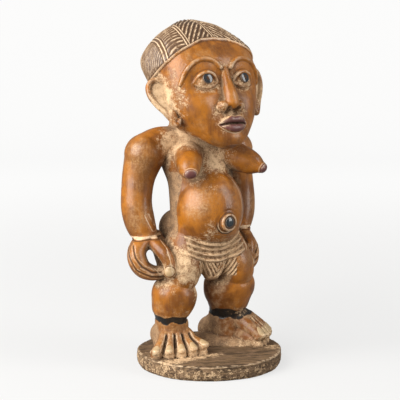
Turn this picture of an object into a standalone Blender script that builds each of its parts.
"""A standing figure carved with its round base from one block of wood, with inlaid eyes and navel.

Metres, +Z up. The figure faces -Y, and its own left hand is at +X. The origin is under the middle of
the figure, on the surface that the base stands on.

The block is roughed out from closed shells: rings of a limb or a body carried along a line. They are
joined by a voxel remesh, smoothed as a knife would leave them, carved by moving the surface along its
own normals, and thinned to the faces that the form needs. Last the sockets of the inlays are cut.
"""

import math

import bmesh
import bpy
import numpy as np
from mathutils import Matrix, Vector

# Driving dimensions, each set by itself
FIGURE_HEIGHT = 0.2756  # from the top of the base to the crown
BASE_RADIUS = 0.0612
BASE_THICKNESS = 0.0124
BASE_OFFSET = 0.003  # the base's middle lies this far to the figure's left
EYE_INLAY_RADIUS = 0.0046
NAVEL_INLAY_RADIUS = 0.0044
INLAY_THICKNESS = 0.0030
INLAY_DOME = 0.0009  # how far the middle of an inlay stands above its own rim
INLAY_STAND = 0.0006  # how far the rim of an inlay stands above the wood around it
INLAY_GAP = 0.0003  # all round each inlay
ROUGH_VOXEL = 0.0011
FIGURE_FACES = 8700
INLAY_STEPS = 20  # round each inlay and its socket

# The figure is laid out in parts of its own height: at this height a part is a millimetre
PART = FIGURE_HEIGHT / 275.6

# The head has its own frame, tilted back: x to the left ear, y to the back, z to the crown
HEAD_TILT = math.radians(20)
HEAD_CENTRE = np.array([0.0, 7.0, 220.6])
HEAD_TURN = np.array(
    [
        [1, 0, 0],
        [0, math.cos(HEAD_TILT), math.sin(HEAD_TILT)],
        [0, -math.sin(HEAD_TILT), math.cos(HEAD_TILT)],
    ]
)
# Height, half width, where it is widest, and how far it reaches from there to the front and the back
SKULL = np.array(
    [
        (-57.5, 8, -20, 7, 6),
        (-52, 16, -18, 11, 10),
        (-45, 23, -14, 15.5, 14),
        (-36, 31, -8, 22, 20),
        (-24, 38, -3, 28, 24),
        (-10, 42.5, 0, 33, 28),
        (7, 43.8, 0, 36.5, 28),
        (21, 43.2, 1, 35, 37),
        (30, 40, 3, 31.5, 43.5),
        (38, 35, 4.5, 26.5, 44.5),
        (48.5, 24, 6.5, 19.5, 33),
        (57, 8, 8, 8, 13),
    ]
)
FRONT_ROUNDING, BACK_ROUNDING = 3.0, 2.3  # 2 is an ellipse, and a larger number is squarer
EYE = (18.0, -4.0)  # to the side and up, in the head's frame
NAVEL_HEIGHT = 112.0

# Paths: each row is x, y, height, and the radii to the side and in depth
TRUNK = [
    (0, 6, 84, 20, 15),
    (0, 5, 93, 27, 20),
    (0, 5, 102, 29, 24),
    (0, 5, 114, 28.5, 25),
    (0, 7, 129, 28, 24.5),
    (0, 10, 144, 28, 24),
    (0, 14, 157, 32, 22),
    (0, 19, 168, 34, 19),
    (0, 22, 178, 28, 17),
]
NECK = [
    (0, 17, 164, 27, 20),
    (0, 18, 180, 23.5, 20),
    (0, 15, 194, 23, 21),
    (0, 11, 206, 25, 22),
]
SHOULDER_TOP = [(12, 20, 173, 14, 14), (30, 24, 173, 15, 15), (43, 25, 168, 15, 16)]
ARM = [
    (45.5, 25, 165, 16.8, 16.8),
    (50, 27, 148, 13.9, 14),
    (52.6, 26.5, 133, 12.9, 13),
    (53.2, 25.5, 122, 13, 12.9),
    (51.8, 23.5, 111, 12.8, 12.6),
    (49.4, 21.5, 102, 11.4, 11.4),
    (48.4, 20, 96, 9.8, 10),
]
FINGERS = [
    (50, 19, 96, 8, 10),
    (58.2, 17, 88, 7.8, 11),
    (59.8, 14, 80, 8.0, 11),
    (55.4, 12, 72.5, 7.4, 10.5),
    (47, 9, 69, 6.2, 9),
    (38, 7, 70, 5, 7),
]
THUMB = [
    (46, 17, 95, 6.2, 6.6),
    (45.5, 8, 92, 6.0, 6.2),
    (43.5, -1, 86, 5.8, 5.6),
    (41, -4, 79, 5.2, 5.0),
    (40, -4.5, 72, 4.8, 4.6),
]
PALM = [(38, 22, 96, 7, 7), (33, 19, 84, 7, 8), (32, 15, 72, 7, 7)]
BREAST = [
    (18, 1, 164.5, 12, 12),
    (25, -9, 162, 11.5, 11.8),
    (32, -20, 157.5, 9, 9.6),
    (35.5, -27, 154.5, 5.4, 6),
]
THIGH = [
    (14, 8, 102, 14, 18),
    (19, 6, 88, 16.5, 19),
    (23, 3.5, 74, 16.5, 18.5),
    (24.5, 3, 66, 15, 16.5),
]
CALF = [
    (26.4, 6, 60, 15.2, 15),
    (28, 6.5, 53, 19, 18),
    (29.3, 7, 45, 18.9, 18.5),
    (31, 8, 36, 16, 17),
    (30.6, 9.5, 28, 12.6, 15),
    (29.2, 11, 18, 13, 16),
    (29, 12, 8, 14, 17),
]
# The left leg is the fuller one and its knee is further forward: added to the stations above
LEFT_THIGH = [(0, 0, 0, 0, 0), (0, -1, 0, 1, 0), (1, -3, 0, 2, 1), (1.5, -4, 0, 3, 2)]
LEFT_CALF = [
    (-0.8, -4, 1, 4.0, 2),
    (-2.2, -3.5, 1, 3.6, 2),
    (-3.6, -2, 1, 3.0, 1.5),
    (-4.6, -1, 1, 2.4, 1),
    (-4.0, 0, 0, 2.2, 0),
    (-2.0, 0, 0, 1.4, 0),
    (0, 0, 0, 0, 0),
]
# The left hand lies closer to the thigh than the right one
LEFT_FINGERS = [
    (-7, 0, 0, -1, 0),
    (-10.5, 0, 0, -1, 0),
    (-8, 0, -1, -1, 0),
    (-5, 0, -3, 0, 0),
    (-4, 0, -3, 0, 0),
    (-4, 0, -2, 0, 0),
]
APRON = [
    (0, -4, 95, 25, 11),
    (0, -3.5, 84, 22, 12),
    (0, -4, 76, 16, 11.5),
    (0, -5.5, 67.5, 9.5, 9.5),
    (0, -6, 63.5, 6, 7.5),
]

# Each foot: its heel, the tips of its big and its little toe, and how far the other tips bow forward
FEET = [
    ((-21, 36), (-13, -14), (-54, -3), 4.0),
    ((24, 29), (38, -23.5), (63, -0.5), 3.0),
]


def spline(stations, count):
    """Rows on a smooth curve through the stations."""
    rows = np.asarray(stations, float)
    rows_out = np.vstack([2 * rows[0] - rows[1], rows, 2 * rows[-1] - rows[-2]])
    place = np.linspace(0, len(rows) - 1, count)
    first = np.minimum(place.astype(int), len(rows) - 2)
    step = (place - first)[:, None]
    a, b, c, d = (rows_out[first + k] for k in range(4))
    bend = 2 * a - 5 * b + 4 * c - d + step * (3 * (b - c) + d - a)
    return b + 0.5 * step * (c - a + step * bend)


def limb(stations, facing=(0, -1, 0), rings=26, around=28, ends=(1, 1), rounding=2.0):
    """Rings of points along a path, with rounded ends. The depth radius lies towards `facing`."""
    rows = spline(stations, rings)
    along = np.gradient(rows[:, :3], axis=0)
    along /= np.linalg.norm(along, axis=1, keepdims=True)
    first, last = (rows[k, 3:].min() for k in (0, -1))
    bend = np.linspace(0, math.pi / 2, 7)[1:]
    caps = []
    for k, way, reach in ((0, -along[0], first * ends[0]), (-1, along[-1], last * ends[1])):
        row = rows[k]
        cap = np.repeat(row[None], len(bend), axis=0)
        cap[:, :3] += way * reach * np.sin(bend)[:, None]
        cap[:, 3:] *= np.cos(bend)[:, None]
        caps.append(cap)
    rows = np.vstack([caps[0][::-1], rows, caps[1]])
    along = np.vstack([along[:1].repeat(6, 0), along, along[-1:].repeat(6, 0)])
    depth = np.asarray(facing, float) - (along @ np.asarray(facing, float))[:, None] * along
    depth /= np.linalg.norm(depth, axis=1, keepdims=True)
    side = np.cross(along, depth)
    angle = np.linspace(0, 2 * math.pi, around, endpoint=False)
    flat = [np.sign(f(angle)) * np.abs(f(angle)) ** (2 / rounding) for f in (np.cos, np.sin)]
    return (
        rows[:, None, :3]
        + side[:, None] * rows[:, None, 3:4] * flat[0][None, :, None]
        + depth[:, None] * rows[:, None, 4:5] * flat[1][None, :, None]
    )


def ball(centre, radii):
    """Rings of points on an ellipsoid."""
    rise = np.linspace(-math.pi / 2, math.pi / 2, 17)
    angle = np.linspace(0, 2 * math.pi, 28, endpoint=False)
    unit = np.stack(
        [
            np.cos(rise)[:, None] * np.cos(angle),
            np.cos(rise)[:, None] * np.sin(angle),
            np.sin(rise)[:, None] * np.ones_like(angle),
        ],
        axis=-1,
    )
    return np.asarray(centre, float) + unit * np.asarray(radii, float)


def mirrored(rows, side):
    """The same stations on the left side (1) or on the right side (-1)."""
    rows = np.array(rows, float)
    rows[:, 0] *= side
    return rows


def from_head(points):
    """Points given in the head's frame, in the figure's frame."""
    return np.asarray(points, float) @ HEAD_TURN.T + HEAD_CENTRE


def face_depth(x, z):
    """The place of the skull's front in the head's frame (a negative y) over a place of the face."""
    half, widest, front = (np.interp(z, SKULL[:, 0], SKULL[:, k]) for k in (1, 2, 3))
    share = np.clip(1 - np.abs(x / half) ** FRONT_ROUNDING, 0.0, 1.0) ** (1 / FRONT_ROUNDING)
    return widest - front * share


def on_face(rows, side=1):
    """Stations that stand over the skull: each row is x, z, how far it stands out, and two radii."""
    return [(side * x, face_depth(x, z) - stand, z, deep, high) for x, z, stand, deep, high in rows]


def skull_shell():
    z, half, widest, front, back = spline(SKULL, 64).T[:, :, None]
    angle = np.linspace(0, 2 * math.pi, 72, endpoint=False)
    power = 2 / np.where(np.sin(angle) > 0, FRONT_ROUNDING, BACK_ROUNDING)
    across = np.sign(np.cos(angle)) * np.abs(np.cos(angle)) ** power
    ahead = np.abs(np.sin(angle)) ** power
    y = widest + np.where(np.sin(angle) > 0, -front * ahead, back * ahead)
    skull = np.stack([half * across, y, z + 0 * angle], axis=-1)
    # The sockets are pressed in around the eyes, and the cheeks, the chin and the mouth left full
    for x, z, wide, high, push in (
        (18, -6, 10.5, 8, 5.0),
        (-18, -6, 10.5, 8, 5.0),
        (0, -2, 8, 6, 1.5),
        (24, -24, 9, 9, -1.5),
        (-24, -24, 9, 9, -1.5),
        (0, -52, 11, 7, -2.0),
        (0, -40, 15, 8, -3.0),
    ):
        near = np.exp(-(((skull[..., 0] - x) / wide) ** 2) - ((skull[..., 2] - z) / high) ** 2)
        skull[..., 1] += push * near * (skull[..., 1] < 0)
    ends = [
        np.repeat(ring.mean(axis=0)[None, None], len(angle), axis=1) for ring in (skull[0], skull[-1])
    ]
    return from_head(np.concatenate([ends[0] - [0, 0, 1.5], skull, ends[1] + [0, 0, 1.0]]))


def feature_shells():
    """A plain face: its parts stand at the thirds and the halves of the head."""
    flat = (0, 0, 1)
    nose = [(0, 4, -3, 3.6, 4), (0, -8, 0, 4.6, 5), (0, -19, 3.5, 6.0, 5.6), (0, -25, 4.5, 6.4, 5.0)]
    upper_lip = [(-13.5, -40.6, 0, 1.2, 1), (-6, -37.9, 3, 3.4, 2.9), (0, -38.2, 3.6, 3.3, 2.7)]
    upper_lip += [(6, -37.9, 3, 3.4, 2.9), (13.5, -40.6, 0, 1.2, 1)]
    lower_lip = [(-12.5, -41.8, 0, 1.2, 1), (-6, -44.3, 2.2, 3.2, 3.0), (0, -45, 2.8, 3.4, 3.2)]
    lower_lip += [(6, -44.3, 2.2, 3.2, 3.0), (12.5, -41.8, 0, 1.2, 1)]
    shells = [limb(on_face(nose)), ball((0, face_depth(0, -25) - 4.6, -25), (5.6, 5.6, 5.0))]
    shells += [limb(on_face(lip), facing=flat) for lip in (upper_lip, lower_lip)]
    x, z = EYE
    upper_lid = [(x - 10.2, z - 1.4, -2.2, 1.2, 1.2), (x - 6, z + 3.4, -0.4, 1.7, 1.6)]
    upper_lid += [(x, z + 5.4, 0.3, 1.8, 1.7), (x + 6.4, z + 3.6, -0.1, 1.7, 1.6)]
    upper_lid += [(x + 10.6, z - 1.4, -1.6, 1.2, 1.2)]
    lower_lid = [(x - 9.8, z - 1.8, -2.4, 1.0, 1.0), (x - 5, z - 5.0, -1.2, 1.4, 1.3)]
    lower_lid += [(x, z - 6.0, -0.8, 1.4, 1.3), (x + 5.6, z - 4.8, -1.0, 1.4, 1.3)]
    lower_lid += [(x + 10.2, z - 1.8, -1.8, 1.0, 1.0)]
    brow = [(5, 5, 0.2, 2, 2), (11, 10.5, 0.6, 2, 2), (20, 12.5, 0.6, 2, 2)]
    brow += [(29, 9.5, 0.5, 2, 2), (35, 3, 0.4, 2, 2), (38, -5, 0.2, 1.6, 1.6)]
    for s in (-1, 1):
        shells.append(ball((s * 8.0, face_depth(8, -27) - 1.0, -26.6), (5.0, 6.6, 4.8)))
        shells.append(ball((s * x, face_depth(x, z) + 8.2, z), (10.8, 9.6, 8.8)))
        shells += [limb(on_face(ridge, s), facing=flat) for ridge in (upper_lid, lower_lid, brow)]
    return [from_head(grid) for grid in shells]


def ear_shells(side):
    """A dished ear: a plate with a rim round it and a lobe, standing out from the head."""
    out, back = np.array([side * 0.91, 0.41, 0]), np.array([-side * 0.41, 0.91, 0])
    turn = np.stack([out, back, np.array([0, 0, 1.0])], axis=1)
    rim = [(-3, 2), (1.5, 6.5), (6, 8), (10.5, 6.5), (13.2, 2), (12.7, -5), (9.0, -12.5)]
    rim += [(3.8, -19.5), (-0.4, -26), (-3, -30.5), (-5.2, -31.5), (-7, -28)]
    plate = [(3.5, 4, 6), (5, -3, 8.4), (2.4, -10, 7.8), (-1, -17, 6.4), (-4, -24, 4), (-5.4, -29, 2.4)]
    root = (46.0, -7.6, 4.2) if side > 0 else (-42.6, -7.0, -2.5)
    shells = [
        limb([(w, -0.6, z, 2.0, 2.6) for w, z in rim], rings=60, around=14),
        limb([(w, 1.8, z, half, 2.0) for w, z, half in plate], ends=(0.6, 0.6)),
        ball((-2.2, -1.2, -24), (4.0, 2.8, 6.0)),
        ball((-3.5, -0.5, -11), (3.4, 3.0, 5.0)),
    ]
    return [from_head(grid @ turn.T + np.array(root)) for grid in shells]


def foot_shells(heel, big, little, bow):
    """A heel, an instep and five toes that fan out from the ankle."""
    heel, big, little = (np.array(p, float) for p in (heel, big, little))
    side = math.copysign(1, heel[0])
    ankle = np.array([side * 28.5, 9.0])
    ahead = (big + little) / 2 - heel
    ahead /= np.linalg.norm(ahead)
    shells = [
        ball((*heel, 8), (11, 11.5, 11.5)),
        limb([(*ankle, 24, 12.5, 14), (*((heel + ankle) / 2), 14, 12.5, 13), (*heel, 8, 11, 11)]),
    ]
    rise = 7.5 * (side > 0)
    for k, radius, top in zip(range(5), (5.6, 4.8, 4.6, 4.4, 4.6), (9.0, 7.6, 7.0, 6.6, 6.4)):
        top += 0.3 * rise
        share = k / 4
        tip = big * (1 - share) + little * share + ahead * bow * math.sin(math.pi * share)
        root = ankle + (tip - ankle) * 0.18
        joint = ankle + (tip - ankle) * 0.62
        shells.append(
            limb(
                [
                    (*root, 17 + rise, 6, 8.5),
                    (*((root + joint) / 2), 14.0 + rise, 6.2, 7.6),
                    (*joint, 9.6 + rise, radius, 6.2),
                    (*(tip * 0.85 + joint * 0.15), top - 1.4 + 0.3 * rise, radius * 0.95, 4.6),
                    (*tip, top - 2.2, radius, 4.4),
                ],
                facing=(0, 0, 1),
                ends=(1, 0.7),
            )
        )
        nail = tip + ahead * 1.5
        shells.append(ball((*nail, top - 0.6), (radius * 0.78, radius * 0.78, 2.6)))
        sole = [(*(ankle * 0.9 + heel * 0.1), 4, 8, 7 + rise), (*joint, 3.4 + rise / 2, 6, 5 + rise / 2)]
        sole.append((*(tip * 0.94 + joint * 0.06), 2.0, 4.6, 3.4))
        shells.append(limb(sole, facing=(0, 0, 1)))
    return shells


def body_shells():
    navel = [(0, -18, NAVEL_HEIGHT, 8.6, 8.6), (0, -31.6, NAVEL_HEIGHT, 7.6, 7.6)]
    shells = [
        limb(TRUNK, rings=40, around=48, rounding=2.2),
        limb(NECK, rounding=2.1),
        ball((0, -2.2, 120), (29.5, 28.6, 35)),
        ball((0, -1, 82), (25, 13.5, 16)),
        limb(APRON, ends=(0.8, 0.6)),
        limb(navel, facing=(0, 0, 1), ends=(1, 0.12)),
        limb([(6, 22, -1, 14, 9), (26, 2, -1, 15, 9.5), (40, -8, -1, 13, 7)], facing=(0, 0, 1)),
    ]
    for s in (-1, 1):
        left = s > 0
        outward = (s * 0.57, -0.82, 0.0)
        shells += [
            limb(mirrored(SHOULDER_TOP, s) - [0, 0, 4 * left, 0, 0], facing=(0, 0, 1)),
            ball((s * 45.3 - 1.5 * left, 24.5, 166 - 4 * left), (17.6, 16.5, 17.0)),
            limb(mirrored(ARM, s)),
            limb(mirrored(np.array(FINGERS) + left * np.array(LEFT_FINGERS), s), facing=outward),
            limb(mirrored(PALM, s)),
            limb(mirrored(THUMB, s), facing=outward),
            ball((s * 40.5, -4.5, 71.5), (5.2, 4.6, 5.2)),
            limb(mirrored(BREAST, s), facing=(0, 0, 1)),
            ball((s * 13.5, 21.5, 102), (16.5, 19.5, 16.5)),
            limb(mirrored(np.array(THIGH) + left * np.array(LEFT_THIGH), s)),
            limb(mirrored(np.array(CALF) + left * np.array(LEFT_CALF), s)),
            *ear_shells(s),
        ]
    for foot in FEET:
        shells += foot_shells(*foot)
    return shells


def base_shell():
    """The base as a hewn disc, a little out of round, reaching below the ground to be cut off flat."""
    angle = np.linspace(0, 2 * math.pi, 120, endpoint=False)
    out = 1 + 0.016 * np.cos(2 * angle) + 0.006 * np.sin(3 * angle + 0.6)
    out += 0.005 * np.sin(5 * angle + 2.0) + 0.003 * np.sin(11 * angle)
    rows = [(0, -0.003, 0), (0, -0.003, 0.5), (1, -0.003, -0.0022), (1, 0.0, -0.0022)]
    rows += [(1, 0.0028, -0.0004), (1, 0.0065, 0)]
    rows += [(1, BASE_THICKNESS - 0.0012, -0.0004), (1, BASE_THICKNESS, -0.0016)]
    rows += [(0, BASE_THICKNESS + 0.0002, 0.5), (0, BASE_THICKNESS + 0.0004, 0)]
    rings = []
    for full, height, change in rows:
        radius = (BASE_RADIUS + change if full else BASE_RADIUS * change) * out
        x, y = BASE_OFFSET + radius * np.cos(angle), radius * np.sin(angle)
        rings.append(np.stack([x, y, np.full_like(angle, height)], axis=-1))
    return np.array(rings)


def solid_faces(grid, first):
    """The faces of a closed surface through rings of points, numbered from `first`."""
    rings, around = grid.shape[0] - 2, grid.shape[1]
    number = first + np.arange(rings * around).reshape(rings, around)
    after = np.roll(number, -1, axis=1)
    low, high = first + rings * around, first + rings * around + 1
    faces = np.stack([number[:-1], number[1:], after[1:], after[:-1]], axis=-1).reshape(-1, 4).tolist()
    faces += [[low, a, b] for a, b in zip(number[0], after[0])]
    faces += [[high, b, a] for a, b in zip(number[-1], after[-1])]
    middle = grid.mean(axis=(0, 1))
    quads = np.stack([grid[1:-2], grid[2:-1], np.roll(grid, -1, 1)[2:-1]], axis=-2) - middle
    if np.linalg.det(quads).sum() < 0:
        faces = [face[::-1] for face in faces]
    return faces


def block(name, grids):
    """One object that holds every shell."""
    points, faces, count = [], [], 0
    for grid in grids:
        faces += solid_faces(grid, count)
        points += [grid[1:-1].reshape(-1, 3), grid[:1, 0], grid[-1:, 0]]
        count = sum(map(len, points))
    mesh = bpy.data.meshes.new(name)
    mesh.from_pydata(np.vstack(points).tolist(), [], faces)
    made = bpy.data.objects.new(name, mesh)
    bpy.context.scene.collection.objects.link(made)
    return made


def settle(thing):
    """Makes the modifiers' result the object's own mesh."""
    graph = bpy.context.evaluated_depsgraph_get()
    mesh = bpy.data.meshes.new_from_object(thing.evaluated_get(graph))
    thing.modifiers.clear()
    thing.data = mesh


def points_of(mesh):
    """The places and the normals of a mesh's points."""
    places, normals = (np.empty(len(mesh.vertices) * 3) for _ in range(2))
    mesh.vertices.foreach_get("co", places)
    mesh.vertices.foreach_get("normal", normals)
    return places.reshape(-1, 3), normals.reshape(-1, 3)


def smooth_step(value, low, high):
    share = np.clip((value - low) / (high - low), 0, 1)
    return share * share * (3 - 2 * share)


def hairline(around):
    """The height of the hair's edge at an angle round the head, 0 in front and pi behind."""
    places = np.radians([0, 25, 45, 65, 85, 110, 140, 180])
    return np.interp(np.abs(around), places, [31, 30, 23.5, 16, 11, 7, 2, 0])


def carve(mesh):
    """Moves the surface along its normals: the cap of hair, the cloth's folds and the cuffs."""
    places, normals = points_of(mesh)
    x, y, z = ((places - np.array([0, 0, BASE_THICKNESS])) / PART).T
    in_head = (np.stack([x, y, z], axis=1) - HEAD_CENTRE) @ HEAD_TURN
    around = np.arctan2(in_head[:, 0], -in_head[:, 1])
    above = in_head[:, 2] - hairline(around)
    near_skull = (in_head[:, 2] > -12) & (np.abs(in_head[:, 0]) < 47.5)
    hair = smooth_step(above, -0.8, 0.8) * near_skull
    push = 1.7 * hair
    # Cloth: four folds that sag across the front, and slanting ones on the flap under them
    front = smooth_step(-normals[:, 1], 0.25, 0.6) * (z > 58) * (z < 100) * (np.abs(x) < 27)
    sag = z - 0.010 * x**2
    band = smooth_step(sag, 75.5, 76.5) * (1 - smooth_step(sag, 93.5, 94.5)) * front
    push += band * (0.9 * np.cos((sag - 91.8) * 2 * math.pi / 4.6) + 0.4)
    flap = (1 - smooth_step(sag, 75.5, 76.5)) * smooth_step(z, 64, 65) * (np.abs(x) < 18) * front
    push += flap * 0.8 * np.cos((x - 0.45 * z * np.sign(x)) * 2 * math.pi / 4.6)
    # The groove of the spine
    spine = np.exp(-((x / 5) ** 2)) * smooth_step(z, 108, 120) * smooth_step(y, 18, 26)
    push -= 1.6 * spine * (1 - smooth_step(z, 170, 182))
    # A line round each wrist
    wrist = (np.abs(x) > 36) * smooth_step(np.abs(z - 96.5), 1.6, 0.6)
    push -= 0.7 * wrist
    mesh.vertices.foreach_set("co", (places + normals * (push * PART)[:, None]).ravel())
    mesh.update()


def material(name, colour, roughness):
    made = bpy.data.materials.new(name)
    made.use_nodes = True
    shader = made.node_tree.nodes["Principled BSDF"]
    shader.inputs["Base Color"].default_value = (*colour, 1)
    shader.inputs["Roughness"].default_value = roughness
    shader.inputs["Metallic"].default_value = 0.0
    return made


def rough_block():
    shells = body_shells() + [skull_shell()] + feature_shells()
    above_base = np.array([0, 0, BASE_THICKNESS])
    made = block("figure", [grid * PART + above_base for grid in shells] + [base_shell()])
    remesh = made.modifiers.new("join", "REMESH")
    remesh.mode = "VOXEL"
    remesh.voxel_size = ROUGH_VOXEL
    smooth = made.modifiers.new("knife", "SMOOTH")
    smooth.factor, smooth.iterations = 0.5, 2
    settle(made)
    return made


def thinned(made):
    """Fewer faces, and the underside cut flat."""
    triangles = sum(len(polygon.vertices) - 2 for polygon in made.data.polygons)
    thin = made.modifiers.new("thin", "DECIMATE")
    thin.ratio = FIGURE_FACES / triangles
    settle(made)
    form = bmesh.new()
    form.from_mesh(made.data)
    everything = form.verts[:] + form.edges[:] + form.faces[:]
    cut = bmesh.ops.bisect_plane(
        form, geom=everything, plane_co=(0, 0, 0), plane_no=(0, 0, 1), clear_inner=True
    )
    rim = [item for item in cut["geom_cut"] if isinstance(item, bmesh.types.BMEdge)]
    bmesh.ops.contextual_create(form, geom=rim)
    bmesh.ops.recalc_face_normals(form, faces=form.faces[:])
    form.to_mesh(made.data)
    form.free()


def lens(name, radius, place, facing, look):
    """A domed inlay: a flat-backed disc whose front bulges, with its axis along `facing`."""
    reach = radius - INLAY_GAP
    profile = [(0, -INLAY_THICKNESS), (reach - 0.0003, -INLAY_THICKNESS)]
    profile += [(reach, 0.0003 - INLAY_THICKNESS)]
    bend = np.linspace(0.0, math.pi / 2, 5)[:-1]
    profile += [(reach * math.cos(a), INLAY_DOME * math.sin(a)) for a in bend]
    profile += [(0, INLAY_DOME)]
    form = bmesh.new()
    line = [form.verts.new((r, 0, h)) for r, h in profile]
    edges = [form.edges.new(pair) for pair in zip(line, line[1:])]
    bmesh.ops.spin(
        form,
        geom=line + edges,
        axis=(0, 0, 1),
        cent=(0, 0, 0),
        angle=2 * math.pi,
        steps=INLAY_STEPS,
        use_merge=True,
    )
    bmesh.ops.remove_doubles(form, verts=form.verts[:], dist=1e-6)
    bmesh.ops.recalc_face_normals(form, faces=form.faces[:])
    for face in form.faces:
        face.smooth = True
    mesh = bpy.data.meshes.new(name)
    form.to_mesh(mesh)
    form.free()
    mesh.materials.append(look)
    made = bpy.data.objects.new(name, mesh)
    bpy.context.scene.collection.objects.link(made)
    made.matrix_world = Matrix.LocRotScale(Vector(place), Vector(facing).to_track_quat("Z", "Y"), None)
    return made


def cut_socket(figure, radius, place, facing):
    """A round socket for an inlay, deeper than the inlay by the gap."""
    depth = INLAY_THICKNESS + INLAY_GAP
    form = bmesh.new()
    bmesh.ops.create_cone(
        form,
        cap_ends=True,
        cap_tris=False,
        segments=INLAY_STEPS,
        radius1=radius,
        radius2=radius,
        depth=depth + 0.01,
    )
    bmesh.ops.translate(form, verts=form.verts[:], vec=(0, 0, (0.01 - depth) / 2))
    mesh = bpy.data.meshes.new("socket")
    form.to_mesh(mesh)
    form.free()
    cutter = bpy.data.objects.new("socket", mesh)
    bpy.context.scene.collection.objects.link(cutter)
    cutter.matrix_world = Matrix.LocRotScale(Vector(place), Vector(facing).to_track_quat("Z", "Y"), None)
    cutter.hide_render, cutter.display_type = True, "WIRE"
    cut = figure.modifiers.new("socket", "BOOLEAN")
    cut.operation, cut.solver, cut.object = "DIFFERENCE", "EXACT", cutter
    return cutter


def inlay_places():
    """Where each inlay's rim is, and the way it faces."""
    x, z = EYE
    above_base = np.array([0, 0, BASE_THICKNESS])
    places = []
    for name, side in (("eye_inlay_right", -1), ("eye_inlay_left", 1)):
        facing = np.array([side * 0.16, -0.985, -0.02]) @ HEAD_TURN.T
        spot = from_head([side * (x + 0.3), face_depth(x, z) - 1.4, z]) * PART + above_base
        places.append((name, EYE_INLAY_RADIUS, spot + facing * INLAY_STAND, facing))
    facing = np.array([0, -1.0, 0])
    spot = np.array([0, -31.9, NAVEL_HEIGHT]) * PART + above_base
    places.append(("navel_inlay", NAVEL_INLAY_RADIUS, spot + facing * INLAY_STAND, facing))
    return places


def main():
    for thing in list(bpy.data.objects):
        bpy.data.objects.remove(thing)
    figure = rough_block()
    carve(figure.data)
    thinned(figure)
    for polygon in figure.data.polygons:
        polygon.use_smooth = True
    figure.data.materials.append(material("carved wood", (0.36, 0.15, 0.035), 0.38))
    shiny = material("dark glass", (0.05, 0.045, 0.045), 0.08)
    stone = material("grey inlay", (0.10, 0.12, 0.13), 0.22)
    places, _ = points_of(figure.data)
    middle = (places.min(axis=0) + places.max(axis=0)) / 2 * np.array([1, 1, 0])
    figure.data.transform(Matrix.Translation(-middle))
    for name, radius, spot, facing in inlay_places():
        look = stone if name == "navel_inlay" else shiny
        lens(name, radius, spot - middle, facing, look)
        cut_socket(figure, radius, spot - middle, facing)


if __name__ == "__main__":
    main()
